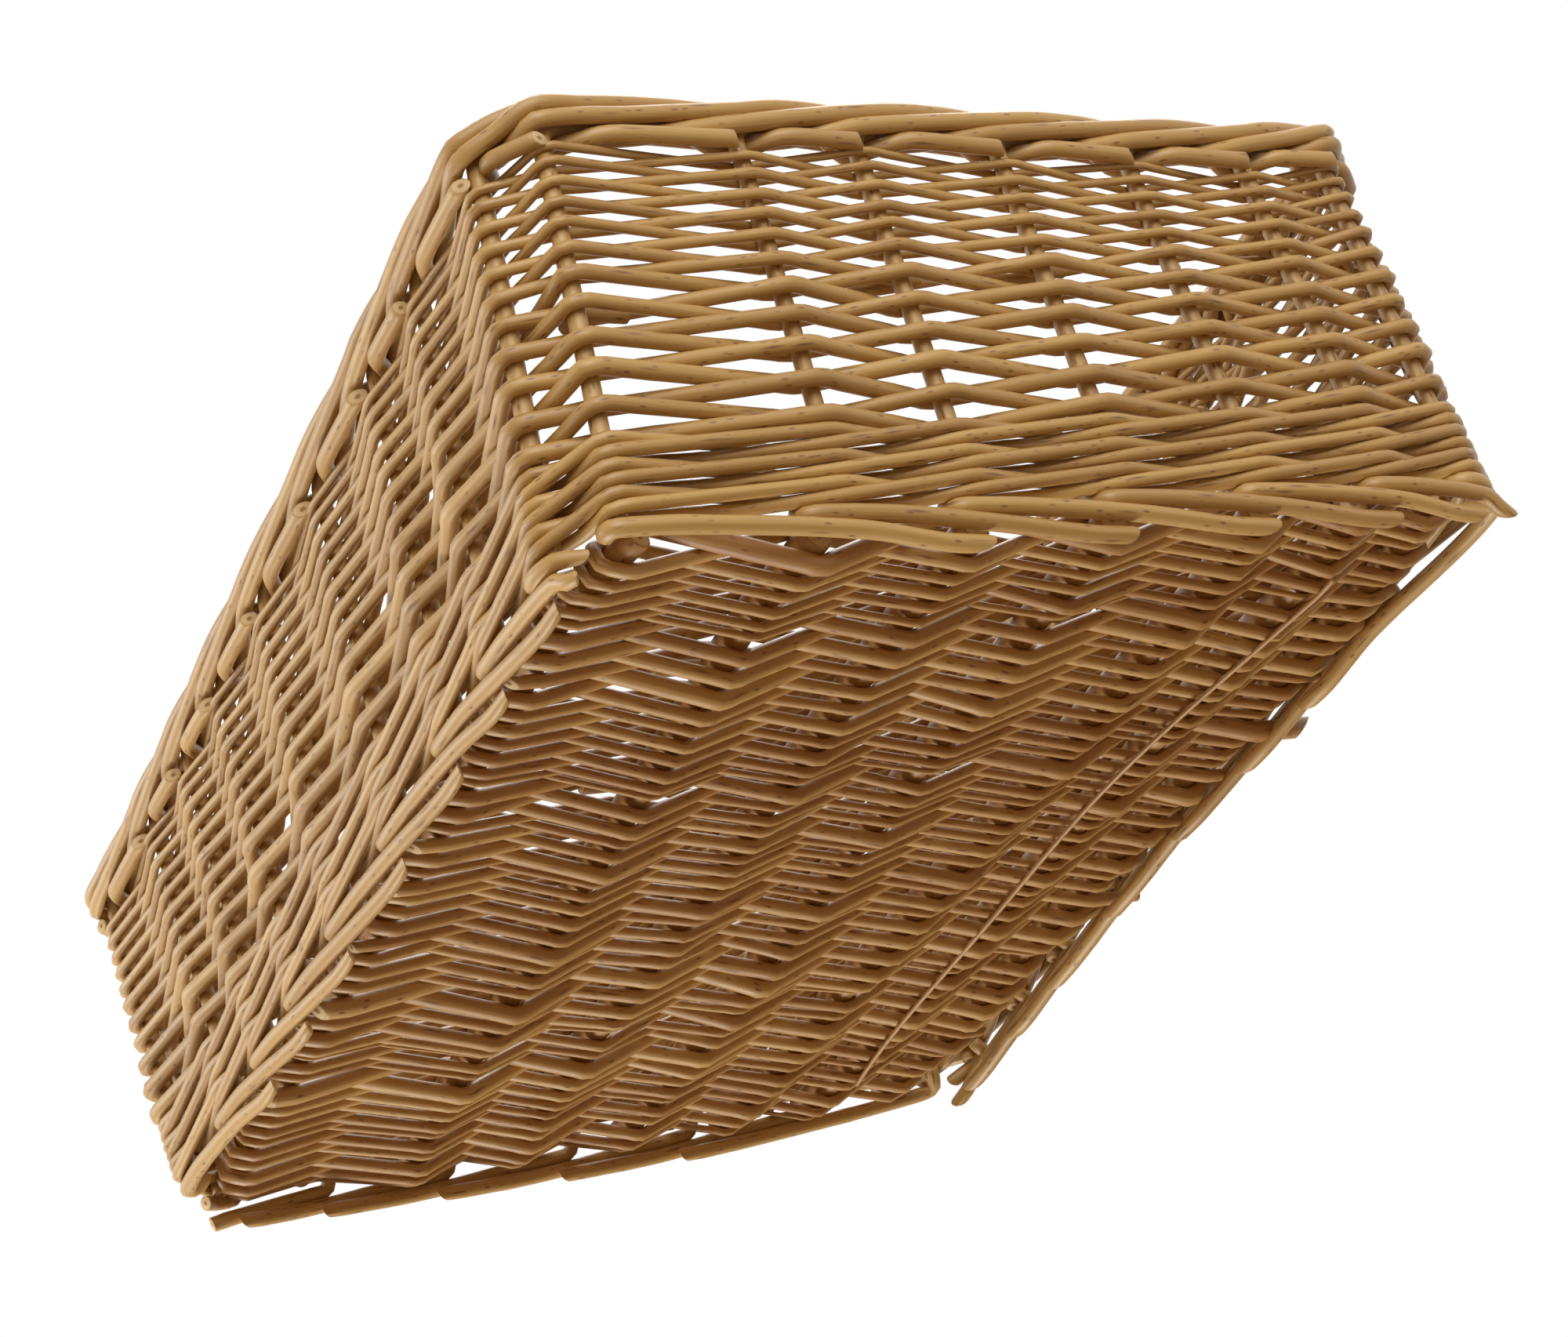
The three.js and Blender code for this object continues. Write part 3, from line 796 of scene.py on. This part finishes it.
class BASKET_OT_stage(bpy.types.Operator):
    """Sets the floor, the light and the camera"""

    bl_idname = "basket.stage"
    bl_label = "Stage"

    def execute(self, context):
        scene = context.scene
        scene.view_settings.view_transform = "Standard"
        bpy.ops.object.select_all(action="DESELECT")
        bpy.ops.mesh.primitive_plane_add(size=FLOOR_SIZE)
        floor = context.object
        floor.name = "floor"
        floor.data.materials.append(self.floor_paper(scene.basket_colours.floor))
        self.sky(scene)
        for place, power, size in LAMPS:
            bpy.ops.object.light_add(type="AREA", location=place)
            lamp = context.object
            lamp.data.energy = power
            lamp.data.size = size
            lamp.data.color = LAMP_COLOUR
            lamp.rotation_euler = (-Vector(place)).to_track_quat("-Z", "Y").to_euler()
        turns = [math.radians(turn) for turn in CAMERA_TURN]
        bpy.ops.object.camera_add(location=CAMERA_PLACE, rotation=turns)
        camera = context.object
        camera.data.lens = CAMERA_LENS
        camera.data.sensor_width = CAMERA_SENSOR
        camera.data.clip_start = 0.01
        scene.camera = camera
        return {"FINISHED"}

    def floor_paper(self, pale):
        """Matt paper seen only from above, so that the basket can also be looked at from beneath. It fades
        into the white background away from the basket"""
        material, tree = new_tree("Matt floor paper")
        side = add_node(tree, "ShaderNodeNewGeometry", {})
        above = add_node(
            tree, "ShaderNodeMath", {0: 1, 1: side.outputs["Backfacing"]}, operation="SUBTRACT"
        )
        shown = add_node(
            tree, "ShaderNodeMath", {0: seen_rays(tree), 1: above.outputs[0]}, operation="MULTIPLY"
        )
        fibres = add_node(tree, "ShaderNodeTexCoord", {})
        away = add_node(tree, "ShaderNodeVectorMath", {0: fibres.outputs["Object"]}, operation="LENGTH")
        near, far = FLOOR_FADE
        fade = add_node(
            tree,
            "ShaderNodeMapRange",
            {"Value": away.outputs["Value"], "From Min": near, "From Max": far, "To Min": 1, "To Max": 0},
            interpolation_type="SMOOTHSTEP",
        )
        shown = add_node(
            tree, "ShaderNodeMath", {0: shown.outputs[0], 1: fade.outputs[0]}, operation="MULTIPLY"
        )
        grit = add_node(
            tree,
            "ShaderNodeTexNoise",
            {"Vector": fibres.outputs["Object"], "Scale": 1 / (PAPER_GRIT * MM), "Detail": 2},
        )
        bump = add_node(
            tree, "ShaderNodeBump", {"Height": grit.outputs[0], "Strength": 0.05, "Distance": MM}
        )
        paper = add_node(
            tree,
            "ShaderNodeBsdfPrincipled",
            {"Base Color": (*pale, 1), "Roughness": 0.9, "Normal": bump.outputs[0]},
        )
        clear = add_node(tree, "ShaderNodeBsdfTransparent", {})
        mixed = add_node(
            tree, "ShaderNodeMixShader", {0: shown.outputs[0], 1: clear.outputs[0], 2: paper.outputs[0]}
        )
        add_node(tree, "ShaderNodeOutputMaterial", {"Surface": mixed.outputs[0]})
        return material

    def sky(self, scene):
        """A white background and an even soft light"""
        world = bpy.data.worlds.new("White studio")
        scene.world = world
        world.use_nodes = True
        tree = world.node_tree
        tree.nodes.clear()
        light = add_node(tree, "ShaderNodeBackground", {"Color": SKY_COLOUR, "Strength": SKY_STRENGTH})
        white = add_node(tree, "ShaderNodeBackground", {"Color": (1, 1, 1, 1), "Strength": 1})
        mixed = add_node(
            tree, "ShaderNodeMixShader", {0: seen_rays(tree), 1: light.outputs[0], 2: white.outputs[0]}
        )
        add_node(tree, "ShaderNodeOutputWorld", {"Surface": mixed.outputs[0]})


class BASKET_OT_stakes(bpy.types.Operator):
    """Stands the stakes and plaits their tops into the rim border"""

    bl_idname = "basket.stakes"
    bl_label = "Stakes and rim"

    def execute(self, context):
        layout = Layout(context.scene.basket_sizes)
        finish = finish_of(context.scene.basket_colours, "stakes")
        draw = random.Random(STAKE_SEED)
        for index in range(layout.count):
            points = [layout.wall_point(index, 0, z) for z in STAKE_HEIGHTS]
            for ahead, offset, rise in RIM_ROUTE:
                place = index + ahead
                z = BORDER_LOW + rise * layout.stake - layout.sag(place)
                points.append(layout.wall_point(place, offset * layout.stake, z))
            butt = layout.stake * draw.uniform(*STAKE_SPREAD)
            outwards = (points[-1] - layout.wall_point(place, 0, z)).normalized()
            slant = outwards * draw.uniform(*STUB_SLANT)
            keys = with_thickness(points, butt, butt * STAKE_TAPER)
            rod = Rod(keys, draw.random(), STAKE_STEP, draw, slant)
            name = f"stake_{layout.stakes[index][0]}"
            lay_rods(name, [rod], STAKE_SIDES, finish, name)
        return {"FINISHED"}


class BASKET_OT_foot(bpy.types.Operator):
    """Pushes a kneed foot rod in beside each stake"""

    bl_idname = "basket.foot"
    bl_label = "Foot rods"

    def execute(self, context):
        sizes = context.scene.basket_sizes
        layout = Layout(sizes)
        finish = finish_of(context.scene.basket_colours, "stakes")
        draw = random.Random(FOOT_SEED)
        for index in range(layout.count):
            stake, _, _, turn = layout.stakes[index]
            wall = stake.split("_")[0]
            route = CORNER_FOOT_ROUTE if turn > 0 else FOOT_ROUTES[wall]
            thicker, narrowed = (LEFT_FOOT, LEFT_TIP) if wall == "left" else (1, 1)
            across = sizes.foot_rod / MM * draw.uniform(*FOOT_SPREAD) * thicker
            to_corner = layout.stake_at(index + 1)[3] > 0
            points = []
            for ahead, offset, z in route:
                z = max(z, across / 2)
                point = layout.wall_point(index + ahead, offset, z)
                if to_corner and ahead > 1:
                    near, corner = (layout.wall_point(index + step, offset, z) for step in (0.5, 1))
                    point = corner + (corner - near).normalized() * CORNER_RUN * (ahead - 1)
                points.append(point)
            inwards = (points[-1] - points[-2]).cross(Vector((0, 0, -1))).normalized()
            slant = inwards * draw.uniform(*FOOT_SLANT) * (1 if wall in ("front", "left") else -1)
            keys = with_thickness(points, across, across * narrowed)
            rod = Rod(keys, draw.random(), FOOT_STEP, draw, slant)
            lay_rods(f"foot_{stake}", [rod], STAKE_SIDES, finish, f"stake_{stake}")
        return {"FINISHED"}


def wale_passes(stakes):
    """How many stakes the wale passes, in all its rounds"""
    return WALE_ROUNDS * stakes - STEP_RUN + 1


def rounds_climbed(count, stakes):
    """Rounds of the wale are level, and each steps up to the next over the last few stakes"""
    full = count // stakes
    return full + max(0, 1 - ((full + 1) * stakes - count) / STEP_RUN)


class BASKET_OT_wale(bpy.types.Operator):
    """Weaves the three-rod wale at the foot of the sides"""

    bl_idname = "basket.wale"
    bl_label = "Wale"

    def execute(self, context):
        sizes = context.scene.basket_sizes
        layout = Layout(sizes)
        finish = finish_of(context.scene.basket_colours, "weavers")
        draw = random.Random(WALE_SEED)
        passed = wale_passes(layout.count)
        for number in range(WALE_RODS):
            points = []
            across = sizes.wale_rod / MM * draw.uniform(*WALE_SPREAD)
            offset = layout.stake / 2 + across / 2 + EASE
            for count in range(passed):
                stake = FIRST_WEAVER_STAKE + count
                axis = WALE_AXIS + WALE_ROUND * rounds_climbed(count, layout.count)
                stroke = (count + WALE_RODS - number) % WALE_RODS
                rise = (-WALE_DROP, WALE_DROP, 0)[stroke]
                side = -1 if stroke == 2 else 1
                points += layout.passing(stake, side * offset, axis + rise)
                if stroke > 0 and count < passed - 1:
                    between = (0, WALE_DROP, -WALE_DROP)[stroke]
                    axis = WALE_AXIS + WALE_ROUND * rounds_climbed(count + 0.5, layout.count)
                    points.append(layout.wall_point(stake + 0.5, 0, axis + between))
            keys = eased(with_thickness(points, across, across), WALE_BEND)
            rod = Rod(keys, draw.random(), WEAVER_STEP, draw)
            name = f"wale_rod_{number + 1}"
            lay_rods(name, [rod], WEAVER_SIDES, finish, name)
        return {"FINISHED"}


class BASKET_OT_sides(bpy.types.Operator):
    """Weaves the side weavers, two chasing sets, each row resting on the row below"""

    bl_idname = "basket.sides"
    bl_label = "Side weavers"

    def execute(self, context):
        layout = Layout(context.scene.basket_sizes)
        finish = finish_of(context.scene.basket_colours, "weavers")
        draw = random.Random(SIDE_SEED)
        stakes = layout.count
        passed = SIDE_ROUNDS * stakes - STEP_RUN + 1
        rows = WEAVER_SETS * SIDE_ROUNDS

        # Where the rods of each set are joined, always behind a stake, and the thickness of each row there
        joins = {}
        thickness = np.zeros((rows, stakes))
        for weaver_set in range(WEAVER_SETS):
            cuts = WEAVERS_IN_A_SET * RODS_IN_A_WEAVER
            places = [min(round(passed * cut / cuts), passed - 2) for cut in range(cuts + 1)]
            joins[weaver_set] = [place + (place + weaver_set + 1) % WEAVER_SETS for place in places]
            for first, last in zip(joins[weaver_set], joins[weaver_set][1:]):
                grade = draw.uniform(*SIDE_SPREAD)
                start = 0 if first < WEAVER_SETS else first
                end = last + 1 if last == joins[weaver_set][-1] else last
                for count in range(start, end):
                    row = weaver_set + WEAVER_SETS * (count // stakes)
                    taper = lerp(*SIDE_TAPER, (count - first) / (last - first))
                    across = lerp(SIDE_BUTT, SIDE_TIP, row / (rows - 1)) * grade * taper
                    thickness[row, (FIRST_WEAVER_STAKE + count) % stakes] = across

        # Rows are beaten down on each other and fill the wall from the wale to the rim
        tops = np.array([SIDE_TOP - layout.sag(stake) for stake in range(stakes)])
        bottoms = np.full(stakes, SIDE_BOTTOM)
        for count in range(wale_passes(stakes)):
            missing = WALE_ROUNDS - 1 - rounds_climbed(count, stakes)
            bottoms[(FIRST_WEAVER_STAKE + count) % stakes] = SIDE_BOTTOM - WALE_ROUND * missing
        thickness *= (tops - bottoms) / thickness.sum(axis=0)
        levels = bottoms + np.cumsum(thickness, axis=0) - thickness / 2

        def weaver_at(weaver_set, count):
            """Thickness and height of a set's weaver at the stake that it passes"""
            stake = (FIRST_WEAVER_STAKE + count) % stakes
            row = weaver_set + WEAVER_SETS * (count // stakes)
            return thickness[row, stake], levels[row, stake] + draw.gauss(0, SIDE_WANDER)

        pieces = {}
        for weaver_set, places in joins.items():
            for cut, (first, last) in enumerate(zip(places, places[1:])):
                keys = []
                for count in range(first, last + 1):
                    across, z = weaver_at(weaver_set, count)
                    stake = FIRST_WEAVER_STAKE + count
                    side = 1 if (count + weaver_set) % WEAVER_SETS == 0 else -1
                    offset = side * (layout.stake / 2 + across / 2 + EASE)
                    if count == first:
                        offset -= across
                    tucked = offset - across * TAIL_TUCK
                    if count == first:
                        keys.append((*layout.wall_point(stake - TAIL, tucked, z), across))
                    keys += [(*point, across) for point in layout.passing(stake, offset, z)]
                    if count == last:
                        keys.append((*layout.wall_point(stake + TAIL, tucked, z), across))
                rod = Rod(eased(np.array(keys), SIDE_BEND), draw.random(), WEAVER_STEP, draw)
                number = (cut // RODS_IN_A_WEAVER) * WEAVER_SETS + weaver_set + 1
                pieces.setdefault(number, []).append(rod)
        for number, laid in sorted(pieces.items()):
            name = f"side_weaver_{number}"
            lay_rods(name, laid, WEAVER_SIDES, finish, name)
        return {"FINISHED"}


def on_stick(stick, y):
    """Where a base stick's axis is. Sticks stand closer near their ends, where the corners are cut"""
    place, fan, _, rise, _ = BASE_STICKS[stick]
    drawn = clamp(1 - min(y - BASE_FRONT, BASE_BACK - y) / BASE_DRAW_RUN)
    return Vector(((place - fan * y / BASE_BACK) * (1 - BASE_DRAW_IN * drawn), y, BASE_AXIS + rise))


class BASKET_OT_base_sticks(bpy.types.Operator):
    """Lays the sticks that the base is woven on"""

    bl_idname = "basket.base_sticks"
    bl_label = "Base sticks"

    def execute(self, context):
        sizes = context.scene.basket_sizes
        finish = finish_of(context.scene.basket_colours, "base")
        draw = random.Random(STICK_SEED)
        stations = np.linspace(BASE_FRONT, BASE_BACK, STICK_STATIONS)
        for stick, (*_, share) in enumerate(BASE_STICKS):
            points = [on_stick(stick, y) for y in stations]
            across = sizes.base_stick / MM * share * draw.uniform(*STICK_SPREAD)
            keys = with_thickness(points, across, across)
            rod = Rod(keys, STICK_TONE * draw.random(), STICK_STEP, draw)
            name = f"base_stick_{stick + 1}"
            lay_rods(name, [rod], STAKE_SIDES, finish, name)
        return {"FINISHED"}


def returning_row(y):
    """The row at a place along the base that runs from right to left, under both outer sticks"""
    return 2 * int((y - BASE_FRONT) / (BASE_BACK - BASE_FRONT) * BASE_ROWS / 2) + 1


class BASKET_OT_base_weavers(bpy.types.Operator):
    """Weaves the base over and under its sticks, turning round the outer ones"""

    bl_idname = "basket.base_weavers"
    bl_label = "Base weavers"

    def execute(self, context):
        sizes = context.scene.basket_sizes
        finish = finish_of(context.scene.basket_colours, "base")
        draw = random.Random(BASE_SEED)
        mean = sizes.base_rod / MM
        sticks = len(BASE_STICKS)
        passes = []
        for row in range(BASE_ROWS):
            order = range(sticks) if row % 2 == 0 else reversed(range(sticks))
            passes += [(row, stick, 1 if (stick + row) % 2 == 0 else -1) for stick in order]

        # Most rods are joined on the upper side of a stick, some at the edges of the base
        butts = {(returning_row(y) + 1) * sticks for y in BUTTS_ON_THE_LEFT}
        stubs = {returning_row(y) * sticks for y in STUBS_ON_THE_RIGHT}
        long_stubs = {returning_row(y) * sticks for y in LONG_STUBS_ON_THE_RIGHT}
        spans = []
        first = 0
        while first < len(passes) - 1:
            edge = min(at for at in {*butts, *stubs, *long_stubs, len(passes)} if at > first)
            join = first + draw.randint(*BASE_ROD_PASSES)
            while join < edge and (passes[join][1] in (0, sticks - 1) or passes[join][2] < 0):
                join += 1
            last = join if join < edge - 2 else edge - 1
            spans.append((first, last))
            first = last if last == join else edge

        # Rods are some thick and some thin, and together they fill the length of the base at each stick
        across = np.zeros((BASE_ROWS, sticks))
        for first, last in spans:
            grade = mean * (BASE_GRADES[1] if first in long_stubs else draw.uniform(*BASE_GRADES))
            taper = reversed(BASE_TAPER) if last + 1 in butts or first in stubs else BASE_TAPER
            sizes_along = np.linspace(*taper, last + 1 - first) * grade
            for at, thick in zip(range(first, last + 1), sizes_along):
                row, stick, _ = passes[at]
                across[row, stick] = thick
        across *= (BASE_BACK - BASE_FRONT) / across.sum(axis=0)
        rows_y = BASE_FRONT + np.cumsum(across, axis=0) - across / 2
        pushed = np.array([push for _, _, push, _, _ in BASE_STICKS])
        rows_y -= pushed * (1 - (rows_y / BASE_BACK) ** 2)

        pieces = {}
        for first, last in spans:
            keys = []
            for at in range(first, last + 1):
                row, stick, side = passes[at]
                thick = across[row, stick]
                onward = 1 if row % 2 == 0 else -1
                axis = on_stick(stick, rows_y[row, stick])
                reach = sizes.base_stick / MM * BASE_STICKS[stick][4] / 2 + EASE
                lift = side * (reach + thick / 2)
                edge = stick in (0, sticks - 1)
                if at == first and at > 0 and not edge:
                    lift += thick
                tail = BASE_TAIL if not edge else EDGE_TAIL if side > 0 else BUTT_LENGTH
                if at == first and first in long_stubs:
                    tail = LONG_STUB
                here = axis + Vector((0, 0, lift))
                if at == first:
                    keys.append((*(here - Vector((onward * tail, 0, 0))), thick))
                keys.append((*here, thick))
                if at == last:
                    keys.append((*(here + Vector((onward * tail, 0, 0))), thick))
                elif passes[at + 1][0] > row:
                    # Round the outer stick, 30 degrees above and below its middle
                    outward = onward * abs(lift) * math.cos(math.pi / 6) * draw.uniform(*UNEVEN_TURNS)
                    for turned, level in ((1 / 3, 0.5), (2 / 3, -0.5)):
                        turn = on_stick(stick, lerp(axis.y, rows_y[row + 1, stick], turned))
                        keys.append((*(turn + Vector((outward, 0, level * lift))), thick))
            middle = passes[(first + last) // 2][0]
            number = 1 + middle * BASE_WEAVERS // BASE_ROWS
            keys = np.array(keys if last + 1 in butts else keys[::-1])
            slant = (0, 0, -draw.uniform(*BASE_SLANT))
            rod = Rod(eased(keys, BASE_BEND), draw.random(), WEAVER_STEP, draw, slant)
            pieces.setdefault(number, []).append(rod)
        for number, laid in sorted(pieces.items()):
            name = f"base_weaver_{number}"
            lay_rods(name, laid, WEAVER_SIDES, finish, name)
        return {"FINISHED"}


class BASKET_OT_base_skein(bpy.types.Operator):
    """Lays the thin skein along the underside of one base stick"""

    bl_idname = "basket.base_skein"
    bl_label = "Base skein"

    def execute(self, context):
        sizes = context.scene.basket_sizes
        finish = finish_of(context.scene.basket_colours, "base")
        draw = random.Random(SKEIN_SEED)
        thin = sizes.skein / MM
        drop = sizes.base_stick / MM / 2 + sizes.base_rod / MM + thin / 2
        ends = BASE_BACK - BASE_DRAW_RUN
        sway, wave = SKEIN_WAVE
        across, up = SKEIN_BOW
        points = []
        for y in np.linspace(-ends, ends, SKEIN_STATIONS).tolist():
            bowed = 1 - (y / ends) ** 2
            aside = SKEIN_ASIDE + across * bowed + sway * math.sin(y / wave)
            points.append(on_stick(SKEIN_STICK, y) + Vector((aside, 0, up * bowed - drop)))
        rod = Rod(with_thickness(points, thin, thin), SKEIN_TONE, SKEIN_STEP, draw)
        lay_rods("base_skein", [rod], SKEIN_SIDES, finish, "base_skein")
        return {"FINISHED"}


OPERATORS = (
    BASKET_OT_stage,
    BASKET_OT_stakes,
    BASKET_OT_foot,
    BASKET_OT_wale,
    BASKET_OT_sides,
    BASKET_OT_base_sticks,
    BASKET_OT_base_weavers,
    BASKET_OT_base_skein,
)


class BASKET_PT_panel(bpy.types.Panel):
    """Sizes, colours and steps of the basket"""

    bl_idname = "BASKET_PT_panel"
    bl_label = "Willow shelf basket"
    bl_space_type = "VIEW_3D"
    bl_region_type = "UI"
    bl_category = "Basket"

    def draw(self, context):
        for group in (context.scene.basket_sizes, context.scene.basket_colours):
            column = self.layout.column()
            for name in group.bl_rna.properties.keys():
                if name not in ("rna_type", "name"):
                    column.prop(group, name)
        for operator in OPERATORS:
            self.layout.operator(operator.bl_idname)


CLASSES = (BasketSizes, BasketColours, *OPERATORS, BASKET_PT_panel)


def register():
    for item in CLASSES:
        bpy.utils.register_class(item)
    bpy.types.Scene.basket_sizes = bpy.props.PointerProperty(type=BasketSizes)
    bpy.types.Scene.basket_colours = bpy.props.PointerProperty(type=BasketColours)


def unregister():
    del bpy.types.Scene.basket_colours
    del bpy.types.Scene.basket_sizes
    for item in reversed(CLASSES):
        bpy.utils.unregister_class(item)


def main():
    register()
    bpy.ops.basket.stage()
    bpy.ops.basket.stakes()
    bpy.ops.basket.foot()
    bpy.ops.basket.wale()
    bpy.ops.basket.sides()
    bpy.ops.basket.base_sticks()
    bpy.ops.basket.base_weavers()
    bpy.ops.basket.base_skein()


if __name__ == "__main__":
    main()
